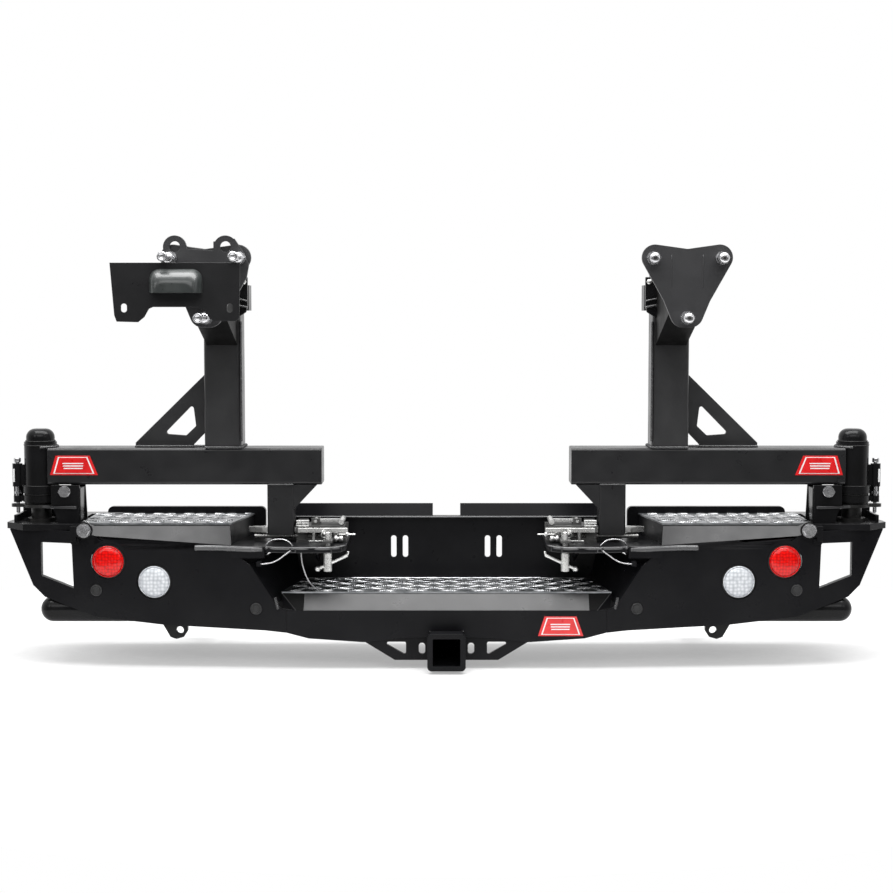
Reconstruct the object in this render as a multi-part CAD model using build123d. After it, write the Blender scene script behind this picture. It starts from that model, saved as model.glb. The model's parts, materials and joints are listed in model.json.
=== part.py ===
from build123d import *
import os
from math import cos, radians, sin, sqrt, tan

os.makedirs("parts", exist_ok=True)

# Rear bar with two swing-away spare wheel carriers. Millimetres, +Z up, -Y to the rear of the vehicle.
# Origin: centre of the four chassis bolts, on the mounting face of the two side brackets.

# chassis frame
BOLT_X = 500
BOLT_Z = 25
BOLT_R = 7
FLANGE_T = 8
CROSS_HALF = 700
CROSS_Y0 = -108
CROSS_Y1 = -48
CROSS_Z0 = -5.25
CROSS_Z1 = 54.75
WALL = 4

# hitch receiver, 50.8 mm square socket
RECV_OUT = 63.5
RECV_IN = 50.8
RECV_Z = -37
RECV_MOUTH = -362
RECV_BACK = -60
HITCH_PIN_R = 8
HITCH_PIN_Y = -285

# centre step
FACE_Y = -309
STEP_Y = -284
STEP_Z = 62
TREAD_T = 3
LIP_Z = 33
STEP_FRONT_HALF = 310
STEP_REAR_HALF = 283
PANEL_Y = -112
PANEL_T = 4

# wings: plan line of the face, sheet thickness, top edge
WING_PLAN = [(300, -309), (661, -288), (838, -234)]
SHEET = 4
WING_TOP = 190
WING_TREAD_Y = -270
RISER_RUN = 32
RISER_DROP = 34
UPSTAND_TOP = 206

# lamps and sensor plugs
RED_X = 635
RED_Z = 122.5
WHITE_X = 548
WHITE_Z = 85
LAMP_HOLE_R = 33
LAMP_R = 32.5
LENS_R = 29.5
PLUGS = [(658, 68), (356, 36)]
PLUG_HOLE_R = 11.3
PLUG_R = 11

# side pipe
PIPE_R = 24.5
PIPE_Y = -242
PIPE_Z = 26
PIPE_IN = 470
PIPE_OUT = 772

# hinge
PIVOT_X = 778
PIVOT_Y = -200
BASE_Z0 = 178
BASE_Z1 = 190
BAND_Z0 = 157
SHOULDER_R = 19
SHAFT_R = 15
SHAFT_FIT = 0.06
DISC_Z0 = 217
DISC_Z1 = 223
DISC_R = 34
HUB_Z0 = 223.5
HUB_R = 34.3
TUBE_R = 31
TUBE_TOP = 342
CAP_R = 27
CAP_TOP = 367
SWING = 115
BOSS_X = 678
BOSS_Z = 182
BOSS_Y = -297
PLUNGER_OFF = 45
PLUNGER_R = 4
PLUNGER_LIFT = 24

# swing arm, 70 mm square tube
ARM_SIZE = 70
ARM_Y0 = -235
ARM_Z0 = 262
ARM_IN = 237
POST_X = 424
POST_TOP = 660
LEG_IN = 290
LEG_OUT = 341
LEG_DEPTH = 50
LEG_Z0 = 166

# wheel mount: three alternate studs of a six stud 139.7 mm circle
WHEEL_Z = 649
STUD_PCD = 139.7
STUD_R = 6
STUD_ANGLES = [30, 150, 270]
WPLATE_Y = -458
WPLATE_T = 8
STEM_W = 58
ADAPT_T = 8

# latch
SHELF_Z0 = 142
SHELF_Z1 = 152
BAR_Y = -205
BAR_W = 30
BAR_Z0 = 169
BAR_Z1 = 179
BAR_TIP = 379
ROD_Z = 161.4
ROD_R = 5
PIN_X = 223
PIN_Y = -285
PIN_R = 5
HANDLE_X = 250
HANDLE_Z = 191

# wire lanyards
WIRE_R = 1.25


def mirrored(shape, side):
    """The right-hand shape for side +1, its mirror image for side -1."""
    if side > 0:
        return shape
    return mirror(shape, about=Plane.YZ)


def box(x0, x1, y0, y1, z0, z1):
    """Box between two corners."""
    size = Box(x1 - x0, y1 - y0, z1 - z0)
    return Pos((x0 + x1) / 2, (y0 + y1) / 2, (z0 + z1) / 2) * size


def rod_z(x, y, z0, z1, r):
    """Upright cylinder."""
    return Pos(x, y, (z0 + z1) / 2) * Cylinder(r, z1 - z0)


def rod_y(x, z, y0, y1, r):
    """Cylinder along Y."""
    return Pos(x, (y0 + y1) / 2, z) * Rot(90, 0, 0) * Cylinder(r, y1 - y0)


def rod_x(y, z, x0, x1, r):
    """Cylinder along X."""
    return Pos((x0 + x1) / 2, y, z) * Rot(0, 90, 0) * Cylinder(r, x1 - x0)


def slab_y(points, y0, y1):
    """Outline drawn in X and Z, running from y0 to y1."""
    face = make_face(Polyline([(x, y0, z) for x, z in points], close=True))
    return extrude(face, amount=y1 - y0, dir=(0, 1, 0))


def slab_z(points, z0, z1):
    """Outline drawn in X and Y, running from z0 to z1."""
    face = make_face(Polyline([(x, y, z0) for x, y in points], close=True))
    return extrude(face, amount=z1 - z0, dir=(0, 0, 1))


def slab_x(points, x0, x1):
    """Outline drawn in Y and Z, running from x0 to x1."""
    face = make_face(Polyline([(x0, y, z) for y, z in points], close=True))
    return extrude(face, amount=x1 - x0, dir=(1, 0, 0))


def hexagon_y(x, z, y0, y1, flats):
    """Hexagonal prism along Y, given across the flats."""
    prism = extrude(RegularPolygon(flats / sqrt(3), 6), amount=y1 - y0)
    return Pos(x, y1, z) * Rot(90, 0, 0) * prism


def tube_x(x0, x1, y0, y1, z0, z1, wall, corner):
    """Square tube along X with rounded corners, open at both ends."""
    outer = box(x0, x1, y0, y1, z0, z1)
    outer = fillet(outer.edges().filter_by(Axis.X), corner)
    return outer - box(x0 - 1, x1 + 1, y0 + wall, y1 - wall, z0 + wall, z1 - wall)


def tow_crossbar():
    """Cross tube, chassis side brackets with bolt flanges, and the uprights under the hinges."""
    shape = tube_x(-CROSS_HALF, CROSS_HALF, CROSS_Y0, CROSS_Y1, CROSS_Z0, CROSS_Z1, 5, 6)
    for s in (-1, 1):
        web = slab_x([(-272, 54), (-FLANGE_T, 54), (-FLANGE_T, -42), (-110, -28), (-272, -1)], 462, 470)
        flange = box(462, 534, -FLANGE_T, 0, -42, 66)
        for z in (-BOLT_Z, BOLT_Z):
            flange = flange - rod_y(BOLT_X, z, -20, 10, BOLT_R)
        post = box(640, 700, CROSS_Y0, CROSS_Y1, CROSS_Z1, BASE_Z0)
        post = post - box(645, 695, CROSS_Y0 + 5, CROSS_Y1 - 5, CROSS_Z1 - 1, BASE_Z0 + 1)
        shape = shape + mirrored(web + flange + post, s)
    return shape


def hitch_receiver():
    """Square socket with a mouth collar, a closed back end and a cross hole for the hitch pin."""
    half = RECV_OUT / 2
    outer = box(-half, half, RECV_MOUTH, RECV_BACK, RECV_Z - half, RECV_Z + half)
    outer = fillet(outer.edges().filter_by(Axis.Y), 5)
    collar = box(-35.5, 35.5, RECV_MOUTH, RECV_MOUTH + 14, RECV_Z - 34.5, RECV_Z + 34.5)
    collar = fillet(collar.edges().filter_by(Axis.Y), 8)
    bore = RECV_IN / 2
    inner = box(-bore, bore, RECV_MOUTH - 1, RECV_BACK - 4, RECV_Z - bore, RECV_Z + bore)
    inner = fillet(inner.edges().filter_by(Axis.Y), 2)
    return outer + collar - inner - rod_x(HITCH_PIN_Y, RECV_Z, -50, 50, HITCH_PIN_R)


def hitch_plate():
    """Upright plate round the receiver with chain holes and slots."""
    half = RECV_OUT / 2
    outline = [(-155, 28), (-155, -26), (-97, -61.5), (97, -61.5), (155, -26), (155, 28)]
    plate = slab_y(outline, -303, -295)
    plate = plate - box(-half, half, -310, -290, RECV_Z - half, RECV_Z + half)
    for s in (-1, 1):
        chain = slab_y([(120, -27), (76, -27), (76, -52)], -310, -290)
        chain = fillet(chain.edges().filter_by(Axis.Y), 3)
        slot = box(40, 52, -310, -290, -50, -29)
        slot = fillet(slot.edges().filter_by(Axis.Y), 5.5)
        plate = plate - mirrored(chain, s) - mirrored(slot, s)
    return plate


def centre_fascia():
    """Folded sheet under the centre tread: top flange, sloping lip, upright face and lip ends."""
    t = SHEET
    nose = STEP_FRONT_HALF
    profile = [(STEP_Y, STEP_Z), (FACE_Y, LIP_Z), (FACE_Y, -30), (FACE_Y + t, -30),
               (FACE_Y + t, LIP_Z - 2), (STEP_Y + 2, STEP_Z - t), (PANEL_Y, STEP_Z - t),
               (PANEL_Y, STEP_Z)]
    sheet = slab_x(profile, -nose, nose)
    solid_nose = slab_x([(STEP_Y, STEP_Z), (FACE_Y, LIP_Z), (STEP_Y, LIP_Z)], 274, nose)
    sheet = sheet + solid_nose + mirror(solid_nose, about=Plane.YZ)
    outline = [(0, -17), (85, -19), (154, -27), (258, -20), (300, -9), (300, LIP_Z), (nose, LIP_Z),
               (nose, STEP_Z), (0, STEP_Z)]
    outline = outline + [(-x, z) for x, z in reversed(outline) if x > 0]
    plan = [(300, -320), (300, FACE_Y + t + 1), (nose, STEP_Y), (STEP_REAR_HALF, PANEL_Y)]
    plan = plan + [(-x, y) for x, y in reversed(plan)]
    corner = slab_z([(281, FACE_Y - 1), (nose, STEP_Y), (nose + 20, STEP_Y), (nose + 20, FACE_Y - 1)],
                    LIP_Z, STEP_Z + 1)
    shape = sheet & slab_y(outline, -330, -100) & slab_z(plan, -40, STEP_Z + 1)
    half = RECV_OUT / 2
    notch = box(-half, half, -320, -290, -40, RECV_Z + half)
    return shape - corner - mirror(corner, about=Plane.YZ) - notch


def back_panel():
    """Upright panel behind the step with four slots, a ledge and two sloping top flanges."""
    panel = box(-346, 346, PANEL_Y, PANEL_Y + PANEL_T, STEP_Z, 187)
    for x in (-104, -81, 81, 104):
        slot = box(x - 5.3, x + 5.3, PANEL_Y - 5, PANEL_Y + 10, 107, 150)
        slot = fillet(slot.edges().filter_by(Axis.Y), 5)
        panel = panel - slot
    ledge = box(-346, 346, PANEL_Y - 14, PANEL_Y + PANEL_T, 187, 190)
    shape = panel + ledge
    for s in (-1, 1):
        flange = slab_x([(PANEL_Y, 190), (PANEL_Y + 4, 190), (PANEL_Y + 14, 211), (PANEL_Y + 10, 213)],
                        27, 346)
        cut = slab_y([(20, 180), (27, 180), (22, 220), (10, 220)], PANEL_Y - 5, PANEL_Y + 30)
        shape = shape + mirrored(flange - cut, s)
    tie = box(-300, 300, PANEL_Y, PANEL_Y + PANEL_T, 8, STEP_Z)
    return shape + tie


def centre_tread():
    """Tread plate on the centre step."""
    outline = [(-STEP_FRONT_HALF, STEP_Y - 1), (STEP_FRONT_HALF, STEP_Y - 1),
               (STEP_REAR_HALF, PANEL_Y - 0.5), (-STEP_REAR_HALF, PANEL_Y - 0.5)]
    return slab_z(outline, STEP_Z, STEP_Z + TREAD_T)


def plan_sheet(z0, z1):
    """Upright sheet following the plan line of the wing face."""
    front = WING_PLAN
    back = [(838, -229.8), (661.6, -283.9), (300, -305)]
    return slab_z(front + back, z0, z1)


def wing_window():
    """Outline of the tail lamp window in the wing face."""
    return [(703, 70), (768, 91), (768, 155), (706, 155)]


def wing_blank():
    """Wing face sheet cut to its outline, before the holes."""
    outline = [(300, -9), (339, -5), (532, 4), (606, 12), (661, 18), (762, 51), (785, 72), (831, BASE_Z0),
               (705, BASE_Z0), (705, 157), (692, 157), (692, 180), (661, 170.9), (438, 157), (404, 154.9),
               (404, 146), (366, 117), (317, 42), (300, LIP_Z)]
    return plan_sheet(-30, 190) & slab_y(outline, -330, -200)


def wing_face(side):
    """Bent wing face with lamp holes, plug holes, a lamp window and the step end wall."""
    face = wing_blank()
    face = face - rod_y(RED_X, RED_Z, -330, -250, LAMP_HOLE_R)
    face = face - rod_y(WHITE_X, WHITE_Z, -330, -250, LAMP_HOLE_R)
    for x, z in PLUGS:
        face = face - rod_y(x, z, -330, -250, PLUG_HOLE_R)
    hole = slab_y(wing_window(), -330, -200)
    face = face - hole
    rim = slab_y([(699, 65), (771, 88.5), (771, 157), (699, 157)], -284, -238)
    behind = slab_z([(690, -275.5), (780, -248), (780, -236), (690, -263)], 60, 157)
    face = face + ((rim & behind) - hole)
    front = Polyline([(317, FACE_Y + 2, 42), (366, FACE_Y + 5, 117), (371, FACE_Y + 5, 117),
                      (322, FACE_Y + 2, 42)], close=True)
    rear = Polyline([(284, PANEL_Y, 66), (300, PANEL_Y, 140), (305, PANEL_Y, 140),
                     (289, PANEL_Y, 66)], close=True)
    wall = Solid.make_loft([front.wire(), rear.wire()], ruled=True)
    wall = wall - box(200, 400, -320, -100, SHELF_Z0, 200)
    eye = box(345, 353, -323, -304, 118, 126)
    return mirrored(face + wall + eye, side)


def wing_riser(side):
    """Sloping riser under the wing tread, inner end wall, shelf flange and rear upstand."""
    top = WING_TOP
    foot = WING_TREAD_Y - RISER_RUN
    outer = slab_z([(402, -303), (438, -301), (661, -288), (690, -279), (690, -102), (380, -102),
                    (408, WING_TREAD_Y)], 146, top)
    outer = outer & slab_x([(foot - 2, 146), (foot - 2, top - RISER_DROP - 2), (WING_TREAD_Y, top),
                            (-102, top), (-102, 146)], 370, 700)
    inner = slab_z([(407, -297), (438, -296), (661, -282), (686, -274), (686, -90), (385, -90),
                    (413, WING_TREAD_Y)], 100, top - 4)
    inner = inner & slab_x([(foot + 4, 100), (foot + 4, top - RISER_DROP - 2), (WING_TREAD_Y + 3, top - 4),
                            (-90, top - 4), (-90, 100)], 370, 700)
    deck = box(340, 404, -306, -115, 146, 152)
    lip = box(340, 404, -306, -302, 131, 146) + box(340, 345, -306, -200, 131, 146)
    bridge = box(347, 386, -116, -102, 146, 152)
    upstand = box(357, 669, -102, -88, CROSS_Z1, UPSTAND_TOP)
    upstand = fillet(upstand.edges().filter_by(Axis.Y).group_by(Axis.Z)[-1], 10)
    upstand = upstand - box(362, 639, -98, -80, CROSS_Z1 - 1, UPSTAND_TOP - 12)
    upstand = upstand - box(639, 672, -120, -80, CROSS_Z1 - 1, BASE_Z1 + 4)
    shape = (outer - inner) + deck + lip + bridge + upstand
    shape = shape - rod_y(RED_X, RED_Z, -330, -240, 40)
    shape = shape - box(639, 702, CROSS_Y0 - 1, -80, CROSS_Z1 - 1, BASE_Z0)
    return mirrored(shape - wing_blank(), side)


def wing_tread(side):
    """Tread plate on top of the wing."""
    outline = [(406, WING_TREAD_Y - 2), (664, WING_TREAD_Y - 2), (690, -250), (690, -102.3),
               (378, -102.3)]
    return mirrored(slab_z(outline, WING_TOP, WING_TOP + TREAD_T), side)


def side_pipe(side):
    """Round pipe under the wing with a domed outer end and a coupling ring."""
    end = PIPE_OUT - PIPE_R
    pipe = rod_x(PIPE_Y, PIPE_Z, PIPE_IN, end, PIPE_R) + Pos(end, PIPE_Y, PIPE_Z) * Sphere(PIPE_R)
    bore = rod_x(PIPE_Y, PIPE_Z, PIPE_IN - 1, end, PIPE_R - 3)
    bore = bore + Pos(end, PIPE_Y, PIPE_Z) * Sphere(PIPE_R - 3)
    seam = rod_x(PIPE_Y, PIPE_Z, 606, 608, PIPE_R + 1) - rod_x(PIPE_Y, PIPE_Z, 605, 609, PIPE_R - 0.6)
    return mirrored(pipe - bore - seam, side)


def hinge_base(side):
    """Hinge plate with a blunt outer point, a skirt below and a bolt boss in front."""
    outline = [(692, -262), (800, -262), (838, -226), (838, -206), (812, -48), (640, -48), (640, -86),
               (704, -86), (704, -196), (692, -196)]
    plate = slab_z(outline, BASE_Z0, BASE_Z1)
    skirt = slab_z([(694, -256), (748, -256), (822, -233.3), (826, -224), (826, -208), (806, -110),
                    (704, -110), (704, -196), (694, -196)], BAND_Z0, BASE_Z0)
    inner = slab_z([(700, -250), (747, -250), (817, -228.5), (820, -222), (820, -209), (801, -116),
                    (710, -116), (710, -196), (700, -196)], BAND_Z0 - 1, BASE_Z0)
    boss = rod_y(BOSS_X, BOSS_Z, BOSS_Y, BOSS_Y + 6, 16) + box(693, 704, BOSS_Y, -258, 162, BASE_Z1)
    boss = boss + box(BOSS_X, 704, BOSS_Y, BOSS_Y + 6, 170, BASE_Z1)
    return mirrored(plate + (skirt - inner) + boss, side)


def ear_point(angle):
    """Centre of the index pin at a swing angle, on the right-hand hinge."""
    return (PIVOT_X + PLUNGER_OFF * cos(radians(angle)), PIVOT_Y + PLUNGER_OFF * sin(radians(angle)))


def hinge_spindle(side):
    """Fixed spindle with the index disc; its two ears end the path of the index pin."""
    shape = rod_z(PIVOT_X, PIVOT_Y, BASE_Z1, DISC_Z0, SHOULDER_R)
    shape = shape + rod_z(PIVOT_X, PIVOT_Y, BASE_Z1, BASE_Z1 + 6, 26)
    disc = rod_z(PIVOT_X, PIVOT_Y, DISC_Z0, DISC_Z1, DISC_R)
    for angle in (0, SWING):
        x, y = ear_point(angle)
        disc = disc + rod_z(x, y, DISC_Z0, DISC_Z1, 12)
        mid_x = (x + PIVOT_X) / 2
        mid_y = (y + PIVOT_Y) / 2
        bar = Box(PLUNGER_OFF, 24, DISC_Z1 - DISC_Z0)
        disc = disc + Pos(mid_x, mid_y, (DISC_Z0 + DISC_Z1) / 2) * Rot(0, 0, angle) * bar
    for step in range(SWING // 5 + 1):
        x, y = ear_point(5 * step)
        disc = disc - rod_z(x, y, DISC_Z0 - 1, DISC_Z1 + 1, PLUNGER_R + 0.5)
    shaft = rod_z(PIVOT_X, PIVOT_Y, DISC_Z1, TUBE_TOP - 4, SHAFT_R)
    shaft = chamfer(shaft.edges().group_by(Axis.Z)[-1], 1.5)
    return mirrored(shape + disc + shaft, side)


def hinge_bracket(side):
    """Fixed upright bracket round the spindle: front and rear plates, web, stop lug and low back walls."""
    front = slab_y([(698, BASE_Z1), (738, BASE_Z1), (742, 206), (750, 226), (750, 262), (696, 262)],
                   -244, -239)
    rear = slab_y([(691, BASE_Z1), (716, BASE_Z1), (722, 259), (694, 259)], -196, -191)
    web = box(695, 701, -239, -196, BASE_Z1, 256)
    lug = box(701, 741, -239, -222, 226, 230)
    backing = box(710, 826, -147, -141, BASE_Z1, 214) + box(710, 716, -191, -147, BASE_Z1, 214)
    cheek = box(820, 826, -222, -147, BASE_Z1, 203)
    return mirrored(front + rear + web + lug + backing + cheek, side)


def hex_bolt(x, z, y, flats, washer):
    """Hexagon head on a round washer, facing the rear, with its face at y."""
    ring = rod_y(x, z, y - 2.5, y, washer)
    head = hexagon_y(x, z, y - 10.5, y - 2.5, flats)
    head = head & rod_y(x, z, y - 10.5, y - 2.5, flats * 0.56)
    return ring + head


def hinge_bolts():
    """Plated bolts on the hinge brackets and hinge base bosses, both sides."""
    shape = None
    for s in (-1, 1):
        pair = hex_bolt(724, 250, -244, 19, 11)
        pair = pair + hex_bolt(BOSS_X, BOSS_Z, BOSS_Y, 19, 13.5)
        shape = mirrored(pair, s) if shape is None else shape + mirrored(pair, s)
    return shape


def latch_shelf(side):
    """Horizontal shelf with a rounded front carrying the latch, with a web below to the back panel."""
    outline = [(345, -299.5), (332, -306), (290, -314), (250, -316), (215, -310), (196, -296),
               (189, -278), (189, PANEL_Y), (340, PANEL_Y), (340, -119), (345, -119)]
    plate = slab_z(outline, SHELF_Z0, SHELF_Z1)
    plate = plate - box(339.9, 346, -310, -110, SHELF_Z0 - 1, SHELF_Z1 + 1)
    plate = plate - rod_z(PIN_X, PIN_Y, 130, 160, PIN_R + 0.4)
    web = slab_x([(-250, SHELF_Z0), (PANEL_Y, SHELF_Z0), (PANEL_Y, 100)], 250, 255)
    eye = box(281, 289.2, -322, -312, 143.5, 150.5)
    return mirrored(plate + web + eye, side)


def latch_body(side):
    """Latch frame on the shelf: base, front rail, posts, rear wall, bar guide and pin tab."""
    base = box(190, 286, -236, -174, SHELF_Z1, SHELF_Z1 + 4)
    rail = box(192, 268, -236, -230, SHELF_Z1 + 4, 161)
    shape = base + rail
    for x in (222, 252):
        shape = shape + box(x - 4, x + 4, -236, -230, SHELF_Z1 + 4, 180)
    shape = shape + box(190, 286, -180, -174, SHELF_Z1 + 4, 184)
    top = box(194, 286, -236, -174, 180, 184)
    guide = box(266, 286, -228, -221.5, SHELF_Z1 + 4, 190)
    crown = box(266, 286, -228, -174, 180, 190)
    shape = shape + top + guide + crown
    for y in (-222, -192):
        shape = shape + box(HANDLE_X - 8, HANDLE_X + 8, y, y + 4, 184, 196)
    shape = shape - rod_y(HANDLE_X, HANDLE_Z, -230, -180, 3.4)
    tab = box(214, 232, -296, -236, 158, 162) - rod_z(PIN_X, PIN_Y, 150, 185, PIN_R + 0.4)
    return mirrored(shape + tab, side)


def latch_bar(side):
    """Sliding bar with a tapered tip, and the adjuster rod carried under it."""
    half = BAR_W / 2
    outline = [(196, BAR_Y - half), (352, BAR_Y - half), (BAR_TIP, BAR_Y - 4), (BAR_TIP, BAR_Y + 4),
               (352, BAR_Y + half), (196, BAR_Y + half)]
    bar = slab_z(outline, BAR_Z0, BAR_Z1)
    rod = rod_x(BAR_Y, ROD_Z, 214, 368, ROD_R)
    block = box(206, 218, BAR_Y - 9, BAR_Y + 9, ROD_Z - 5, BAR_Z0)
    return mirrored(bar + rod + block, side)


def latch_handle(side):
    """Folding lever with a cross grip, on a pin through the latch ears."""
    pin = rod_y(HANDLE_X, HANDLE_Z, -224, -186, 3)
    hub = rod_y(HANDLE_X, HANDLE_Z, -217.5, -192.5, 4.2)
    lever = box(HANDLE_X - 50, HANDLE_X, -214, -196, HANDLE_Z - 2.5, HANDLE_Z + 2.5)
    grip = rod_y(HANDLE_X - 50, HANDLE_Z, -238, -172, 5)
    return mirrored(pin + hub + lever + grip, side)


def lock_pin(side):
    """Upright locking pin through the shelf, with a barrel and a slanted cross bar below."""
    pin = rod_z(PIN_X, PIN_Y, 138, 178, PIN_R)
    pin = chamfer(pin.edges().group_by(Axis.Z)[-1], 1.2)
    barrel = rod_z(PIN_X, PIN_Y, 104, 138, 8)
    bar = Pos(PIN_X - 9, PIN_Y, 121) * Rot(0, -65, 0) * Cylinder(3, 62)
    ball = Pos(PIN_X + 19, PIN_Y, 108) * Sphere(5.5)
    return mirrored(pin + barrel + bar + ball, side)


def arm_beam(side):
    """Square tube arm with a closed inner end, shaped to the hinge tube."""
    y1 = ARM_Y0 + ARM_SIZE
    z1 = ARM_Z0 + ARM_SIZE
    beam = tube_x(ARM_IN, PIVOT_X, ARM_Y0, y1, ARM_Z0, z1, WALL, 6)
    beam = beam + box(ARM_IN, ARM_IN + WALL, ARM_Y0 + 3, y1 - 3, ARM_Z0 + 3, z1 - 3)
    beam = beam - rod_z(PIVOT_X, PIVOT_Y, ARM_Z0 - 1, z1 + 1, TUBE_R)
    beam = beam - box(PIVOT_X - 20, PIVOT_X + 1, ARM_Y0 - 1, y1 + 1, ARM_Z0 - 1, z1 + 1)
    return mirrored(beam, side)


def carrier_post(side):
    """Square post on the arm with a holed gusset plate outside and a clamp lug inside."""
    half = ARM_SIZE / 2
    y1 = ARM_Y0 + ARM_SIZE
    z1 = ARM_Z0 + ARM_SIZE
    post = box(POST_X - half, POST_X + half, ARM_Y0, y1, z1, POST_TOP)
    post = fillet(post.edges().filter_by(Axis.Z), 6)
    inner = half - WALL
    post = post - box(POST_X - inner, POST_X + inner, ARM_Y0 + WALL, y1 - WALL, z1 - 1, POST_TOP - WALL)
    x0 = POST_X + half
    gusset = slab_y([(x0, 362), (x0, 468), (x0 + 3, 470), (595, 340), (595, z1), (488, z1)], -204, -196)
    hole = slab_y([(484, 414), (479, 372), (498, 354), (540, 357)], -210, -190)
    hole = fillet(hole.edges().filter_by(Axis.Y), 4)
    lug = box(POST_X - half - 15, POST_X - half, -222, -178, 592, 640)
    lug = lug - rod_y(POST_X - half - 8, 628, -240, -160, 4)
    return mirrored(post + (gusset - hole) + lug, side)


def drop_leg(side):
    """Square leg under the inner end of the arm: braced top and a latch notch open below and behind."""
    y1 = ARM_Y0 + LEG_DEPTH
    leg = box(LEG_IN, LEG_OUT, ARM_Y0, y1, LEG_Z0, ARM_Z0)
    leg = fillet(leg.edges().filter_by(Axis.Z), 4)
    leg = leg - box(LEG_IN + WALL, LEG_OUT - WALL, ARM_Y0 + WALL, y1 - WALL, LEG_Z0 + WALL, ARM_Z0 + 1)
    leg = leg - box(LEG_IN - 1, LEG_OUT + 1, BAR_Y - 17, y1 + 1, LEG_Z0 - 1, 182)
    brace = slab_y([(246, ARM_Z0), (LEG_IN + 1, ARM_Z0), (LEG_IN + 1, 214)], ARM_Y0 + 1, ARM_Y0 + 6)
    back = slab_y([(246, ARM_Z0), (LEG_IN + 1, ARM_Z0), (LEG_IN + 1, 214)], y1 - 6, y1 - 1)
    return mirrored(leg + brace + back, side)


def pivot_housing(side):
    """Hinge tube with bearing seats, foot ring, domed cap and the plunger guides."""
    shape = rod_z(PIVOT_X, PIVOT_Y, HUB_Z0 + 4, 240, HUB_R)
    shape = shape + rod_z(PIVOT_X, PIVOT_Y, HUB_Z0, HUB_Z0 + 4, HUB_R - 3)
    shape = shape + rod_z(PIVOT_X, PIVOT_Y, 240, 244, HUB_R - 3)
    shape = shape + rod_z(PIVOT_X, PIVOT_Y, 244, 258, HUB_R)
    shape = shape + rod_z(PIVOT_X, PIVOT_Y, 258, TUBE_TOP, TUBE_R)
    cap = rod_z(PIVOT_X, PIVOT_Y, TUBE_TOP, CAP_TOP, CAP_R)
    cap = fillet(cap.edges().group_by(Axis.Z)[-1], 17)
    shape = shape + cap
    bore = SHAFT_R + SHAFT_FIT
    shape = shape - rod_z(PIVOT_X, PIVOT_Y, HUB_Z0 - 1, TUBE_TOP, bore)
    shape = shape - rod_z(PIVOT_X, PIVOT_Y, 250, 315, 24)
    x = PIVOT_X + PLUNGER_OFF
    guide = rod_z(x, PIVOT_Y, 256, 300, 9.5) + box(PIVOT_X + 26, x, -205, -195, 258, 298)
    guide = guide + rod_z(x, PIVOT_Y, 226, 238, 8) + box(PIVOT_X + 26, x, -205, -195, 228, 238)
    guide = guide - rod_z(PIVOT_X, PIVOT_Y, 220, 310, 28)
    guide = guide - rod_z(x, PIVOT_Y, 220, 310, PLUNGER_R + 0.4)
    guide = guide - rod_z(x, PIVOT_Y, 250, 246 + PLUNGER_LIFT + 2, 6.5)
    return mirrored(shape + guide, side)


def index_plunger(side):
    """Pull pin with a round knob, dropping into the index disc."""
    x = PIVOT_X + PLUNGER_OFF
    pin = rod_z(x, PIVOT_Y, 205, 303, PLUNGER_R)
    pin = chamfer(pin.edges().group_by(Axis.Z)[0], 1.2)
    collar = rod_z(x, PIVOT_Y, 242, 246, 6)
    knob = fillet(rod_z(x, PIVOT_Y, 302, 311, 7).edges(), 2)
    return mirrored(pin + collar + knob, side)


def wheel_stem(side):
    """Tapered box stem from the post to the wheel plate."""
    y1 = WPLATE_Y + WPLATE_T
    half = STEM_W / 2
    outline = [(ARM_Y0, 527), (ARM_Y0, 656), (y1, 690), (y1, 592)]
    stem = slab_x(outline, POST_X - half, POST_X + half)
    inner = [(ARM_Y0 - 6, 537), (ARM_Y0 - 6, 650), (y1 + 6, 683), (y1 + 6, 599)]
    return mirrored(stem - slab_x(inner, POST_X - half + 5, POST_X + half - 5), side)


def stud_point(angle):
    """Stud centre on the wheel circle of the right-hand carrier."""
    r = STUD_PCD / 2
    return (POST_X + r * cos(radians(angle)), WHEEL_Z + r * sin(radians(angle)))


def wheel_plate(side):
    """Three-lobed wheel plate with stud holes."""
    spine = [(-57, 36), (0, 28), (57, 36), (20, -30), (6, -64), (-6, -64), (-20, -30)]
    outline = offset(make_face(Polyline(spine, close=True)), amount=23, kind=Kind.ARC)
    plate = extrude(outline, amount=WPLATE_T)
    plate = Pos(POST_X, WPLATE_Y + WPLATE_T, WHEEL_Z) * Rot(90, 0, 0) * plate
    for angle in STUD_ANGLES:
        x, z = stud_point(angle)
        plate = plate - rod_y(x, z, WPLATE_Y - 5, WPLATE_Y + 15, STUD_R + 0.03)
    return mirrored(plate, side)


def wheel_nuts(side):
    """Three studs with domed hexagon nuts; the left upper pair sits on the adaptor plate."""
    shape = None
    for angle in STUD_ANGLES:
        x, z = stud_point(angle)
        seat = WPLATE_Y
        if side < 0 and angle < 200:
            seat = WPLATE_Y - ADAPT_T
        stud = rod_y(x, z, seat - 10, WPLATE_Y + WPLATE_T, STUD_R)
        collar = rod_y(x, z, seat - 6, seat, 11.5)
        nut = hexagon_y(x, z, seat - 26, seat - 6, 20)
        dome = rod_y(x, z, seat - 34, seat - 26, 9.3)
        dome = fillet(dome.edges().group_by(Axis.Y)[0], 6)
        one = stud + collar + nut + dome
        shape = one if shape is None else shape + one
    return mirrored(shape, side)


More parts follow.
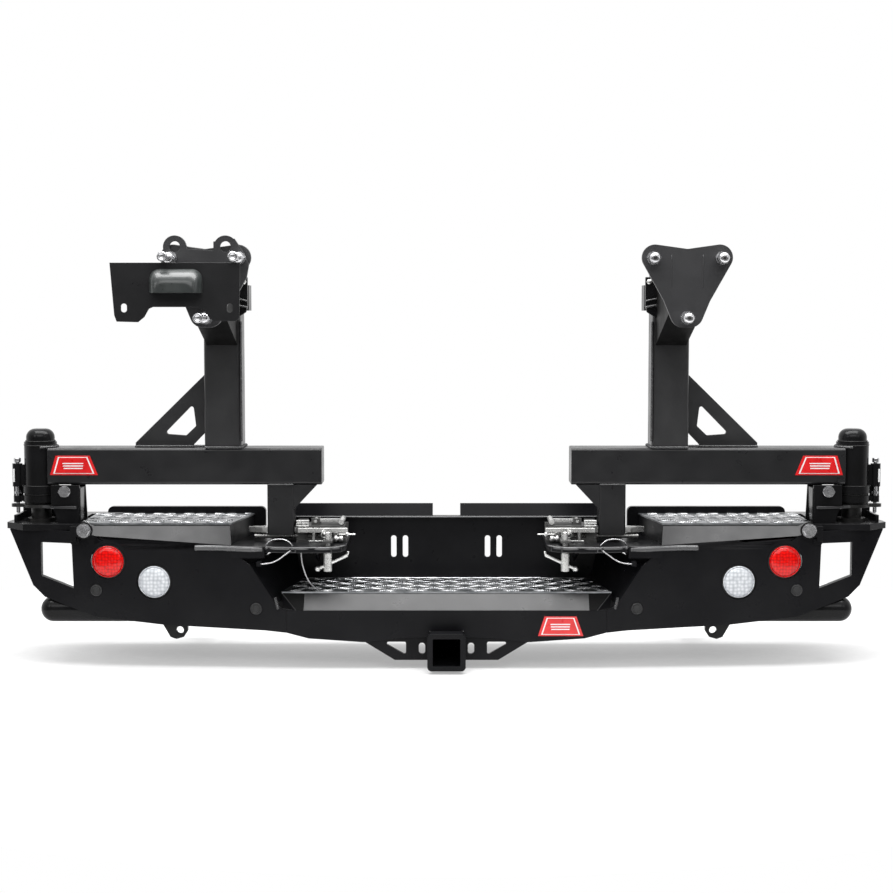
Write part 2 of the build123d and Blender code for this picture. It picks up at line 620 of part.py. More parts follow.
def adaptor_plate():
    """Second plate on the left wheel plate with two holed ears."""
    y0 = WPLATE_Y - ADAPT_T
    body = [(-499, 612), (-499, 700), (-372, 718), (-356, 694), (-347, 672), (-351, 650), (-372, 612)]
    plate = slab_y(body, y0, WPLATE_Y)
    plate = plate - slab_y([(-520, 690), (-497, 690), (-470, 740), (-520, 740)], y0 - 5, WPLATE_Y + 5)
    dip = slab_y([(-456, 700), (-409, 697), (-409, 740), (-456, 740)], y0 - 5, WPLATE_Y + 5)
    plate = plate - dip
    for x in (-477, -388):
        plate = plate + rod_y(x, 703, y0, WPLATE_Y, 20.5)
    for x in (-477, -388):
        plate = plate - rod_y(x, 704, y0 - 5, WPLATE_Y + 5, 9.4)
    for angle in STUD_ANGLES[:2]:
        x, z = stud_point(angle)
        plate = plate - rod_y(-x, z, y0 - 5, WPLATE_Y + 5, STUD_R + 0.03)
    return plate


def number_plate_bracket():
    """Folded number plate holder with two slots, on two stand-offs."""
    y0 = -540
    outline = [(-578, 674), (-571, 584), (-567, 573), (-530, 572), (-519, 581), (-511, 595), (-504, 598),
               (-428, 598), (-416, 592), (-406, 577), (-400, 574), (-362, 574), (-356, 579), (-354, 674)]
    plate = slab_y(outline, y0, y0 + 2)
    flange = box(-577, -355, y0, y0 + 16, 672, 674)
    shape = plate + flange
    for x in (-554, -372):
        slot = box(x - 5, x + 5, y0 - 5, y0 + 8, 589, 604)
        slot = fillet(slot.edges().filter_by(Axis.Y), 4.8)
        shape = shape - slot
    for x in (-464, -396):
        shape = shape + rod_y(x, 640, y0 + 2, WPLATE_Y - ADAPT_T, 8)
    return shape


def number_plate_lamp():
    """Moulded lamp hood over the number plate."""
    y1 = -540
    hood = box(-509, -419, y1 - 36, y1, 622, 663)
    hood = fillet(hood.edges().filter_by(Axis.Y).group_by(Axis.Z)[-1], 16)
    hood = fillet(hood.edges().group_by(Axis.Y)[0].group_by(Axis.Z)[1:], 6)
    return hood - box(-503, -425, y1 - 30, y1 - 4, 621, 640)


def lamp_pair(x, z, y):
    """Two round lamps with a stepped body, a clear lens zone and a rear retaining rim."""
    shape = None
    for s in (-1, 1):
        body = rod_y(x, z, y, y + 26, LAMP_R - 1.2)
        lens = rod_y(x, z, y - 3, y, LENS_R)
        lens = fillet(lens.edges().group_by(Axis.Y)[0], 2.4)
        rim = rod_y(x, z, y + 8, y + 11, 38)
        one = body + lens + rim
        shape = mirrored(one, s) if shape is None else shape + mirrored(one, s)
    return shape


def sensor_plugs():
    """Four round sensor plugs in the wing faces."""
    shape = None
    for s in (-1, 1):
        for x, z in PLUGS:
            front = -309 + (x - 300) * 21 / 361
            plug = rod_y(x, z, front + 0.5, front + 18, PLUG_R)
            plug = fillet(plug.edges().group_by(Axis.Y)[0], 1)
            flange = rod_y(x, z, front + 10, front + 13, 15)
            one = mirrored(plug + flange, s)
            shape = one if shape is None else shape + one
    return shape


def recovery_tabs():
    """Holed recovery tabs hanging below the wings."""
    shape = None
    for s in (-1, 1):
        tab = slab_y([(486, 30), (536, 30), (533, 4), (519, -20), (508, -24), (494, -20), (486, -8)],
                     -290.5, -280.5)
        tab = tab + box(490, 530, -281, PIPE_Y, 14, 30)
        tab = tab - rod_x(PIPE_Y, PIPE_Z, 480, 540, PIPE_R) - rod_y(501, -7, -320, -270, 7)
        tab = tab - box(480, 540, PIPE_Y - 8, PIPE_Y + 1, -10, 60)
        shape = mirrored(tab, s) if shape is None else shape + mirrored(tab, s)
    return shape


def wire(points, side):
    """Round wire through the points with a tangent arc at every bend."""
    radii = []
    for i in range(1, len(points) - 1):
        a = Vector(*points[i]) - Vector(*points[i - 1])
        b = Vector(*points[i + 1]) - Vector(*points[i])
        half = radians(a.get_angle(b) / 2)
        radii.append(0.45 * min(a.length, b.length) / tan(half))
    line = FilletPolyline(*points, radius=radii)
    profile = Plane(origin=line @ 0, z_dir=line % 0) * Circle(WIRE_R)
    print("wire radii", [round(r, 1) for r in radii], "length", round(line.length, 1))
    return mirrored(sweep(profile, path=line), side)


LOOP = [(339, -288, 152.5), (334, -289, 160.5), (322, -290, 164.9), (308, -290, 165), (296, -290, 161),
        (289, -289, 152.6)]
STRAND = [(290, -318.5, 147), (301, -320, 139), (314, -321, 129), (330, -321, 123), (345, -319, 122)]
HANG = [(272, -300, 142), (271, -300, 124), (266, -298, 105), (260, -292, 88), (252, -283, 75),
        (243, -272, 66.6)]


def export(name, shape):
    """Write one node."""
    export_step(shape, "parts/" + name + ".step")


def main():
    """Build and write every node."""
    export("tow_crossbar", tow_crossbar())
    export("hitch_receiver", hitch_receiver())
    export("hitch_plate", hitch_plate())
    export("centre_fascia", centre_fascia())
    export("back_panel", back_panel())
    export("centre_tread", centre_tread())
    export("tail_lamps", lamp_pair(RED_X, RED_Z, -284))
    export("reverse_lamps", lamp_pair(WHITE_X, WHITE_Z, -289))
    export("sensor_plugs", sensor_plugs())
    export("recovery_tabs", recovery_tabs())
    export("hinge_bolts", hinge_bolts())
    for side, name in ((-1, "left"), (1, "right")):
        export(name + "_wing_face", wing_face(side))
        export(name + "_wing_riser", wing_riser(side))
        export(name + "_wing_tread", wing_tread(side))
        export(name + "_side_pipe", side_pipe(side))
        export(name + "_hinge_base", hinge_base(side))
        export(name + "_hinge_spindle", hinge_spindle(side))
        export(name + "_hinge_bracket", hinge_bracket(side))
        export(name + "_latch_shelf", latch_shelf(side))
        export(name + "_latch_body", latch_body(side))
        export(name + "_latch_bar", latch_bar(side))
        export(name + "_latch_handle", latch_handle(side))
        export(name + "_lock_pin", lock_pin(side))
        export(name + "_arm_beam", arm_beam(side))
        export(name + "_carrier_post", carrier_post(side))
        export(name + "_drop_leg", drop_leg(side))
        export(name + "_pivot_housing", pivot_housing(side))
        export(name + "_index_plunger", index_plunger(side))
        export(name + "_wheel_stem", wheel_stem(side))
        export(name + "_wheel_plate", wheel_plate(side))
        export(name + "_wheel_nuts", wheel_nuts(side))
        export(name + "_loop_lanyard", wire(LOOP, side))
        export(name + "_strand_lanyard", wire(STRAND, side))
    export("left_hang_lanyard", wire(HANG, -1))
    export("adaptor_plate", adaptor_plate())
    export("number_plate_bracket", number_plate_bracket())
    export("number_plate_lamp", number_plate_lamp())


main()
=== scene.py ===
# Rear vehicle bar with two swing-out spare wheel carriers: camera, cords, studio, materials and fine detail.
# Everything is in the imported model's frame: +X right, -Y to the rear of the vehicle, +Z up.
# Blender's numbers are metres. Points given to mm(), weld(), rod(), turned() and block() are in millimetres,
# for the right side, and are mirrored by side, which is -1 for the left and 1 for the right.
import itertools
import json
import math
import bmesh
import bpy
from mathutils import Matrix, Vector

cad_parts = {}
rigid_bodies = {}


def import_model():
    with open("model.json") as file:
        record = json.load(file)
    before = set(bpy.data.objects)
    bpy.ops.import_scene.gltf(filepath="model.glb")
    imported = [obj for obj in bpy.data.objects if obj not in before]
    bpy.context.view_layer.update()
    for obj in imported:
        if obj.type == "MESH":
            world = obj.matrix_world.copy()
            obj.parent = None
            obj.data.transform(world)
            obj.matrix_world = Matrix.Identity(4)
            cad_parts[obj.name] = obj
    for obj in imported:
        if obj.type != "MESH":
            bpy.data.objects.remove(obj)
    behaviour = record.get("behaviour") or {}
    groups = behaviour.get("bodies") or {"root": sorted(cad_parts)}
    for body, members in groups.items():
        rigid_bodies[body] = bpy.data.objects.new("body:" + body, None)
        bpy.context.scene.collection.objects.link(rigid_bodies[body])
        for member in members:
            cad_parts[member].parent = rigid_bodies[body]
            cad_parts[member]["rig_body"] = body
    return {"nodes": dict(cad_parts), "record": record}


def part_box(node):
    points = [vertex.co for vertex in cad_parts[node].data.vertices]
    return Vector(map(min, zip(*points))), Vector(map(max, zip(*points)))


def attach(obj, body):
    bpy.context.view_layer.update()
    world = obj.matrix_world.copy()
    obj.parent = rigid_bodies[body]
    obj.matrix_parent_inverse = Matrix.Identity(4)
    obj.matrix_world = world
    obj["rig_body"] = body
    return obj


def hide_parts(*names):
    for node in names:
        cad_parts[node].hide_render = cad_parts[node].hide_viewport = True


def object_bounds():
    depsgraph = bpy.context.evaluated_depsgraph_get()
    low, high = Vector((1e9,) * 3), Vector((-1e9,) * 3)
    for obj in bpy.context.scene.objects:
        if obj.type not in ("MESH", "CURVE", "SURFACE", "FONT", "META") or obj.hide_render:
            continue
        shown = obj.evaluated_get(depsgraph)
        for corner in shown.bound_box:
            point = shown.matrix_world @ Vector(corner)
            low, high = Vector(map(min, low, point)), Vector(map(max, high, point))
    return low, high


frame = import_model()
NODES = frame["nodes"]
START_LO, START_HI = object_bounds()
SIDES = ((-1, "left"), (1, "right"))

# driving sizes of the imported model, in millimetres, on the right side
PIVOT_X, PIVOT_Y = 778, -200  # axis of an arm's hinge
POST_IN, POST_OUT = 389, 459  # X of a post's inner and outer sides
ARM_TOP = 333                 # Z of an arm's top
WHEEL_X, WHEEL_Z = 424, 649   # centre of a wheel plate
STUD_CIRCLE = 69.85           # radius of the stud circle
STUD_ANGLES = (30, 150, 270)
SHELF_TOP = 149.6             # Z of the middle of a latch shelf's rolled edge
REAR, FRONT, UP = Vector((0, -1, 0)), Vector((0, 1, 0)), Vector((0, 0, 1))

# ---------------------------------------------------------------- camera
camera_data = bpy.data.cameras.new("camera")
camera_data.sensor_width = 36.0
camera_data.lens = 72.56
camera_data.clip_start = 0.05
camera_data.clip_end = 60.0
camera = bpy.data.objects.new("camera", camera_data)
bpy.context.scene.collection.objects.link(camera)
camera.location = (0.0, -3.640, 0.591)
camera.rotation_euler = (math.radians(85.7), 0.0, 0.0)
bpy.context.scene.camera = camera


# ---------------------------------------------------------------- materials
def new_material(name):
    """An empty node material with its shader and output in place."""
    mat = bpy.data.materials.new(name)
    mat.use_nodes = True
    tree = mat.node_tree
    tree.nodes.clear()
    shader = tree.nodes.new("ShaderNodeBsdfPrincipled")
    out = tree.nodes.new("ShaderNodeOutputMaterial")
    tree.links.new(shader.outputs["BSDF"], out.inputs["Surface"])
    return mat, tree, shader


def noise(tree, scale, detail=3.0, rough=0.55, stretch=(1, 1, 1)):
    """A noise texture in the object's own coordinates."""
    coord = tree.nodes.new("ShaderNodeTexCoord")
    mapping = tree.nodes.new("ShaderNodeMapping")
    mapping.inputs["Scale"].default_value = stretch
    tex = tree.nodes.new("ShaderNodeTexNoise")
    tex.inputs["Scale"].default_value = scale
    tex.inputs["Detail"].default_value = detail
    tex.inputs["Roughness"].default_value = rough
    tree.links.new(coord.outputs["Object"], mapping.inputs["Vector"])
    tree.links.new(mapping.outputs["Vector"], tex.inputs["Vector"])
    return tex.outputs["Fac"]


def ramp(tree, source, stops):
    """A colour ramp over a value, with stops given as (position, colour)."""
    node = tree.nodes.new("ShaderNodeValToRGB")
    elements = node.color_ramp.elements
    while len(elements) < len(stops):
        elements.new(0.5)
    for element, (place, colour) in zip(elements, stops):
        element.position = place
        element.color = (*colour, 1.0)
    tree.links.new(source, node.inputs["Fac"])
    return node.outputs["Color"]


def spread(tree, source, low, high, start=0.3, end=0.7):
    """A value remapped to a range."""
    node = tree.nodes.new("ShaderNodeMapRange")
    node.inputs["From Min"].default_value = start
    node.inputs["From Max"].default_value = end
    node.inputs["To Min"].default_value = low
    node.inputs["To Max"].default_value = high
    tree.links.new(source, node.inputs["Value"])
    return node.outputs["Result"]


def bump(tree, shader, source, strength, distance):
    """A bump from a height value, on top of any bump made before it."""
    node = tree.nodes.new("ShaderNodeBump")
    node.inputs["Strength"].default_value = strength
    node.inputs["Distance"].default_value = distance
    old = shader.inputs["Normal"]
    if old.is_linked:
        tree.links.new(old.links[0].from_socket, node.inputs["Normal"])
    tree.links.new(source, node.inputs["Height"])
    tree.links.new(node.outputs["Normal"], shader.inputs["Normal"])


def coated(name, dark, light, rough, peel=0.10, shine=0.5):
    """Powder coat: slight tone changes, varied gloss, orange peel and fine dust."""
    mat, tree, shader = new_material(name)
    tone = noise(tree, 9.0, 4.0)
    tree.links.new(ramp(tree, tone, [(0.3, dark), (0.7, light)]), shader.inputs["Base Color"])
    gloss = noise(tree, 26.0, 5.0)
    tree.links.new(spread(tree, gloss, rough - 0.04, rough + 0.07), shader.inputs["Roughness"])
    bump(tree, shader, noise(tree, 850.0, 2.0), peel, 0.0004)
    bump(tree, shader, noise(tree, 60.0, 2.0), 0.05, 0.0010)
    shader.inputs["Specular IOR Level"].default_value = shine
    return mat


def metal(name, dark, light, rough, grain=(1, 1, 1), scratch=0.08, fine=700.0, metallic=1.0):
    """Bare or plated metal: mottled tone, varied polish and directional scratches."""
    mat, tree, shader = new_material(name)
    shader.inputs["Metallic"].default_value = metallic
    tone = noise(tree, 40.0, 5.0)
    tree.links.new(ramp(tree, tone, [(0.3, dark), (0.72, light)]), shader.inputs["Base Color"])
    gloss = noise(tree, 110.0, 4.0)
    tree.links.new(spread(tree, gloss, rough * 0.75, rough * 1.45), shader.inputs["Roughness"])
    bump(tree, shader, noise(tree, fine, 3.0, 0.6, grain), scratch, 0.0003)
    return mat


def moulded(name, dark, light, rough, coat=0.0, grain=0.05):
    """Moulded plastic: soft tone changes and a fine grain."""
    mat, tree, shader = new_material(name)
    tone = noise(tree, 30.0, 3.0)
    tree.links.new(ramp(tree, tone, [(0.3, dark), (0.7, light)]), shader.inputs["Base Color"])
    gloss = noise(tree, 90.0, 4.0)
    tree.links.new(spread(tree, gloss, rough * 0.8, rough * 1.3), shader.inputs["Roughness"])
    bump(tree, shader, noise(tree, 1100.0, 2.0), grain, 0.0003)
    shader.inputs["Coat Weight"].default_value = coat
    shader.inputs["Coat Roughness"].default_value = 0.06
    return mat


def lens(name, deep, mid, bright, cell):
    """Lamp lens over a diode grid: bright cells with darker walls under a clear coat."""
    mat, tree, shader = new_material(name)
    coord = tree.nodes.new("ShaderNodeTexCoord")
    voronoi = tree.nodes.new("ShaderNodeTexVoronoi")
    voronoi.inputs["Scale"].default_value = 1.0 / cell
    voronoi.inputs["Randomness"].default_value = 0.35
    tree.links.new(coord.outputs["Object"], voronoi.inputs["Vector"])
    shade = ramp(tree, voronoi.outputs["Distance"], [(0.05, bright), (0.35, mid), (0.75, deep)])
    tree.links.new(shade, shader.inputs["Base Color"])
    tree.links.new(spread(tree, noise(tree, 120.0), 0.16, 0.3), shader.inputs["Roughness"])
    bump(tree, shader, voronoi.outputs["Distance"], 0.35, 0.0012)
    shader.inputs["Specular IOR Level"].default_value = 0.3
    shader.inputs["Coat Weight"].default_value = 0.35
    shader.inputs["Coat Roughness"].default_value = 0.05
    return mat


def wire_rope(name):
    """Twisted wire: fine diagonal strands."""
    mat, tree, shader = new_material(name)
    shader.inputs["Metallic"].default_value = 1.0
    coord = tree.nodes.new("ShaderNodeTexCoord")
    wave = tree.nodes.new("ShaderNodeTexWave")
    wave.bands_direction = "DIAGONAL"
    wave.inputs["Scale"].default_value = 260.0
    wave.inputs["Distortion"].default_value = 1.5
    tree.links.new(coord.outputs["Object"], wave.inputs["Vector"])
    shade = ramp(tree, wave.outputs["Fac"], [(0.1, (0.30, 0.30, 0.31)), (0.8, (0.82, 0.82, 0.83))])
    tree.links.new(shade, shader.inputs["Base Color"])
    tree.links.new(spread(tree, wave.outputs["Fac"], 0.45, 0.25), shader.inputs["Roughness"])
    bump(tree, shader, wave.outputs["Fac"], 0.6, 0.0004)
    return mat


# coats: dark and light tone, roughness, orange peel and shine
BLACK = coated("black_coat", (0.005, 0.005, 0.006), (0.009, 0.009, 0.010), 0.30, 0.10, 0.12)
# the riser and lip copies are lighter and shinier than the coat: painted sheen on slopes that look up and to
# the rear
BLACK_RISER_LIT = coated("black_coat_riser_lit", (0.008, 0.008, 0.009), (0.013, 0.013, 0.014), 0.30, 0.10, 0.26)
# a much lighter copy of the coat: painted highlight on rolled and rounded edges
BLACK_EDGE_LIT = coated("black_coat_edge_lit", (0.050, 0.050, 0.052), (0.090, 0.090, 0.092), 0.24, 0.10, 0.70)
# a darker, duller copy of the coat: painted shade
BLACK_SHADE = coated("black_coat_shade", (0.004, 0.004, 0.004), (0.007, 0.007, 0.007), 0.45, 0.10, 0.04)
BLACK_LIP_LIT = coated("black_coat_lip_lit", (0.012, 0.012, 0.013), (0.020, 0.020, 0.021), 0.30, 0.10, 0.50)
BLACK_ARM = coated("black_coat_arm", (0.012, 0.012, 0.013), (0.018, 0.018, 0.019), 0.30, 0.10, 0.42)
BLACK_PLATE = coated("black_coat_plate", (0.030, 0.030, 0.032), (0.046, 0.046, 0.048), 0.38)
GLOSS = coated("black_gloss", (0.006, 0.006, 0.006), (0.010, 0.010, 0.011), 0.18, 0.05, 0.16)
# the coat on weld beads, index tongues and catch folds is lighter than the black coat: painted highlight; the
# bead scales are real bumps
WELD_LIT = coated("weld_coat_lit", (0.026, 0.026, 0.027), (0.052, 0.052, 0.054), 0.17, 0.25, 0.7)
# the tread plate's alloy is darkened and its raised bars lightened: painted shade on the plate, painted
# highlight on the bars
ALLOY = metal("tread_alloy", (0.17, 0.18, 0.19), (0.40, 0.41, 0.42), 0.34, (1, 14, 1), 0.30, 160.0)
LUG_LIT = metal("tread_lug_lit", (0.52, 0.53, 0.54), (0.84, 0.84, 0.85), 0.20, (6, 1, 1), 0.12, 240.0)
ZINC = metal("zinc", (0.66, 0.66, 0.65), (0.88, 0.88, 0.86), 0.27, (12, 1, 1), 0.07, 260.0, 0.85)
# a dark copy of the zinc for the latch body: painted shade in the recesses between its bright zinc pieces
LATCH_SHADE = metal("latch_zinc_shade", (0.10, 0.10, 0.10), (0.19, 0.19, 0.185), 0.36, (8, 1, 1), 0.07, 220.0, 0.9)
CHROME = metal("chrome", (0.60, 0.60, 0.62), (0.82, 0.82, 0.83), 0.20, (1, 1, 1), 0.05, 700.0, 0.92)
SPINDLE = metal("spindle_steel", (0.02, 0.02, 0.02), (0.05, 0.049, 0.048), 0.34, (1, 1, 20), 0.15, 120.0, 0.6)
PLASTIC = moulded("black_plastic", (0.014, 0.014, 0.014), (0.028, 0.028, 0.029), 0.42)
RUBBER = moulded("black_rubber", (0.010, 0.010, 0.010), (0.022, 0.022, 0.022), 0.62, 0.0, 0.12)
HOOD = moulded("grey_plastic", (0.018, 0.021, 0.021), (0.044, 0.050, 0.048), 0.34, 0.35)
RED = lens("red_lamp", (0.38, 0.0, 0.0), (0.72, 0.002, 0.001), (0.88, 0.006, 0.003), 0.0058)
CLEAR = lens("white_lamp", (0.42, 0.44, 0.47), (0.62, 0.64, 0.67), (0.80, 0.81, 0.83), 0.0070)
DIODE = moulded("diode", (0.03, 0.03, 0.032), (0.09, 0.09, 0.10), 0.25, 0.8)
BADGE_RED = moulded("badge_red", (0.62, 0.006, 0.008), (0.78, 0.012, 0.014), 0.30, 0.5)
BADGE_WHITE = moulded("badge_white", (0.78, 0.78, 0.78), (0.88, 0.88, 0.88), 0.35, 0.4)
WIRE = wire_rope("steel_wire")
BLACK_POST = coated("black_coat_post", (0.022, 0.022, 0.023), (0.034, 0.034, 0.035), 0.32)
FLOOR = moulded("floor_paint", (0.44, 0.44, 0.44), (0.47, 0.47, 0.47), 0.9)
FLOOR_GLOW = 0.36
for shader in FLOOR.node_tree.nodes:
    if shader.type == "BSDF_PRINCIPLED":
        shader.inputs["Emission Color"].default_value = (1.0, 1.0, 1.0, 1.0)
        shader.inputs["Emission Strength"].default_value = FLOOR_GLOW

SLOT_MATERIAL = {
    "black_coat": BLACK, "tread_alloy": ALLOY, "zinc": ZINC, "chrome": CHROME, "red_lamp": RED,
    "white_lamp": CLEAR, "black_plastic": PLASTIC, "grey_plastic": HOOD, "steel_wire": WIRE,
    "spindle_steel": SPINDLE,
}
OWN_MATERIAL = (
    (("arm_beam", "drop_leg", "number_plate_bracket"), BLACK_ARM),
    (("carrier_post",), BLACK_POST),
    # the wheel stems take the darker, duller copy of the coat: painted shade
    (("wheel_stem",), BLACK_SHADE),
    (("pivot_housing", "hinge_base", "hinge_bracket", "side_pipe", "recovery_tabs"), GLOSS),
    (("wheel_plate", "adaptor_plate"), BLACK_PLATE),
    (("latch_body",), LATCH_SHADE),
)
for part in frame["record"]["subparts"]:
    chosen = SLOT_MATERIAL[part["material_slot"]]
    for endings, own in OWN_MATERIAL:
        if part["node"].endswith(endings):
            chosen = own
    materials = NODES[part["node"]].data.materials
    materials.clear()
    materials.append(chosen)


# ---------------------------------------------------------------- piece helpers
def mm(*values):
    """A point given in millimetres, in metres."""
    return Vector([v / 1000.0 for v in values])


def sided(points, side):
    """Points mirrored to one side of the object."""
    return [Vector((p[0] * side, p[1], p[2])) for p in points]


def link(name, data):
    """A new object in the scene."""
    obj = bpy.data.objects.new(name, data)
    bpy.context.scene.collection.objects.link(obj)
    return obj


def piece(name, bm, mat, body, bevel=0.0):
    """A finished smooth mesh piece that rides on a body, with rounded edges where a width is given."""
    bmesh.ops.recalc_face_normals(bm, faces=bm.faces)
    data = bpy.data.meshes.new(name)
    bm.to_mesh(data)
    bm.free()
    obj = link(name, data)
    data.materials.append(mat)
    for face in data.polygons:
        face.use_smooth = True
    if bevel:
        mod = obj.modifiers.new("edges", "BEVEL")
        mod.width = bevel
        mod.segments = 3
        mod.limit_method = "ANGLE"
        mod.angle_limit = math.radians(35)
        mod.harden_normals = True
    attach(obj, body)
    return obj


def frame_along(axis):
    """Two unit directions square to an axis."""
    axis = Vector(axis).normalized()
    other = Vector((0, 0, 1)) if abs(axis.z) < 0.9 else Vector((1, 0, 0))
    u = axis.cross(other).normalized()
    return u, axis.cross(u).normalized()


def add_ring(bm, centre, u, v, radius, count, squash=1.0):
    """A ring of points round a centre."""
    made = []
    for i in range(count):
        a = 2 * math.pi * i / count
        made.append(bm.verts.new(centre + u * (radius * math.cos(a)) + v * (radius * squash * math.sin(a))))
    return made


def bridge(bm, low, high):
    """Faces between two rings."""
    n = len(low)
    for i in range(n):
        bm.faces.new((low[i], low[(i + 1) % n], high[(i + 1) % n], high[i]))


def add_skin(bm, rings):
    """A closed solid over a row of rings, with a flat face at each end."""
    for low, high in zip(rings, rings[1:]):
        bridge(bm, low, high)
    bm.faces.new(rings[0])
    bm.faces.new(rings[-1])


def add_lathe(bm, base, axis, profile, count=40):
    """A turned solid: profile is (radius, height) along the axis, closed at both ends."""
    axis = Vector(axis).normalized()
    u, v = frame_along(axis)
    add_skin(bm, [add_ring(bm, base + axis * h, u, v, max(r, 1e-5), count) for r, h in profile])


def add_prism(bm, outline, depth):
    """A flat outline of 3-D points thickened along a vector."""
    low = [bm.verts.new(p) for p in outline]
    high = [bm.verts.new(p + depth) for p in outline]
    add_skin(bm, [low, high])


def add_block(bm, lo, hi):
    """A block between two corners."""
    outline = [Vector((lo.x, lo.y, lo.z)), Vector((hi.x, lo.y, lo.z)), Vector((hi.x, hi.y, lo.z)),
               Vector((lo.x, hi.y, lo.z))]
    add_prism(bm, outline, Vector((0, 0, hi.z - lo.z)))


def add_torus(bm, centre, axis, radius, thick, count=48, small=10):
    """A closed ring of round section."""
    axis = Vector(axis).normalized()
    u, v = frame_along(axis)
    rings = []
    for i in range(count):
        a = 2 * math.pi * i / count
        out = u * math.cos(a) + v * math.sin(a)
        rings.append(add_ring(bm, centre + out * radius, out, axis, thick, small))
    for i in range(count):
        bridge(bm, rings[i], rings[(i + 1) % count])


def smooth_path(points, steps=8):
    """Points on a smooth line through the given ones."""
    made = []
    for i in range(len(points) - 1):
        p0 = points[max(i - 1, 0)]
        p1, p2 = points[i], points[i + 1]
        p3 = points[min(i + 2, len(points) - 1)]
        for k in range(steps):
            t = k / steps
            made.append(0.5 * ((2 * p1) + (p2 - p0) * t + (2 * p0 - 5 * p1 + 4 * p2 - p3) * t * t
                               + (3 * p1 - p0 - 3 * p2 + p3) * t * t * t))
    made.append(points[-1])
    return made


def add_sweep(bm, path, radius, count, squash=1.0, ripple=0.0, pitch=0.003):
    """A round rod or bead along a path; ripple gives a weld bead its overlapping scales, one each pitch."""
    rings = []
    travelled = 0.0
    for i, p in enumerate(path):
        if i:
            travelled += (p - path[i - 1]).length
        ahead = path[min(i + 1, len(path) - 1)] - path[max(i - 1, 0)]
        u, v = frame_along(ahead)
        phase = (travelled / pitch) % 1.0
        grow = 1.0 + ripple * (1.0 - phase) * math.sin(math.pi * min(1.0, phase * 2 + 0.5))
        if ripple and i in (0, len(path) - 1):
            grow *= 0.6
        rings.append(add_ring(bm, p, u, v, radius * grow, count, squash))
    add_skin(bm, rings)


WELD_STEP = 0.0007
WELD_SCALE = 0.0032


def weld(name, points, radius, body, side=1):
    """A weld bead with scales along straight runs between points in millimetres."""
    run = sided([mm(*p) for p in points], side)
    path = []
    for a, b in zip(run, run[1:]):
        count = max(2, int((b - a).length / WELD_STEP))
        path += [a.lerp(b, i / count) for i in range(count)]
    path.append(run[-1])
    bm = bmesh.new()
    add_sweep(bm, path, radius / 1000.0, 9, squash=0.85, ripple=0.42, pitch=WELD_SCALE)
    return piece(name, bm, WELD_LIT, body)


def rod(name, points, radius, mat, body, side=1):
    """A bent round rod through points in millimetres."""
    run = smooth_path(sided([mm(*p) for p in points], side))
    bm = bmesh.new()
    add_sweep(bm, run, radius / 1000.0, 12)
    return piece(name, bm, mat, body)


def turned(name, base, axis, profile, mat, body, side=1, count=40):
    """A turned piece; base and profile in millimetres, axis as a direction."""
    bm = bmesh.new()
    start = sided([mm(*base)], side)[0]
    along = (axis[0] * side, axis[1], axis[2])
    add_lathe(bm, start, along, [(r / 1000.0, h / 1000.0) for r, h in profile], count)
    return piece(name, bm, mat, body)


def block(name, lo, hi, mat, body, slot, side=1, bevel=0.8):
    """A bevelled block between two corners in millimetres."""
    a, b = mm(*lo), mm(*hi)
    if side < 0:
        a.x, b.x = -b.x, -a.x
    bm = bmesh.new()
    add_block(bm, a, b)
    return piece(name, bm, mat, body, bevel / 1000.0)


# ---------------------------------------------------------------- cords
WIRE_THICK = 0.0025


def lanyard(name, route, side, body, node):
    """A thin wire on the route of its CAD solid, as a smooth spline."""
    curve = bpy.data.curves.new(name, "CURVE")
    curve.dimensions = "3D"
    curve.resolution_u = 10
    curve.bevel_depth = WIRE_THICK / 2
    curve.bevel_resolution = 3
    curve.use_fill_caps = True
    spline = curve.splines.new("NURBS")
    spline.points.add(len(route) - 1)
    for point, (x, y, z) in zip(spline.points, route):
        point.co = (x * side, y, z, 1.0)
    spline.order_u = 3
    spline.use_endpoint_u = True
    obj = link(name, curve)
    curve.materials.append(WIRE)
    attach(obj, body)
    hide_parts(node)


LOOP = [(0.339, -0.288, 0.1525), (0.334, -0.289, 0.1605), (0.322, -0.290, 0.1649), (0.308, -0.290, 0.165),
        (0.296, -0.290, 0.161), (0.289, -0.289, 0.1526)]
STRAND = [(0.290, -0.3185, 0.147), (0.301, -0.320, 0.139), (0.314, -0.321, 0.129), (0.330, -0.321, 0.123),
          (0.345, -0.319, 0.122)]
HANG = [(0.272, -0.300, 0.142), (0.271, -0.300, 0.124), (0.266, -0.298, 0.105), (0.260, -0.292, 0.088),
        (0.252, -0.283, 0.075), (0.243, -0.272, 0.0666)]
for side, hand in SIDES:
    lanyard(hand + "_loop_wire", LOOP, side, "bar", hand + "_loop_lanyard")
    lanyard(hand + "_strand_wire", STRAND, side, "bar", hand + "_strand_lanyard")
lanyard("left_hang_wire", HANG, -1, "bar", "left_hang_lanyard")

# ---------------------------------------------------------------- studio
FLOOR_REACH = 1.35
GROUND = START_LO.z - 0.006
bm = bmesh.new()
bm.faces.new(add_ring(bm, Vector((0, -0.2, GROUND)), Vector((1, 0, 0)), FRONT, FLOOR_REACH, 128))
floor_data = bpy.data.meshes.new("floor")
bm.to_mesh(floor_data)
bm.free()
floor = link("floor", floor_data)
floor_data.materials.append(FLOOR)

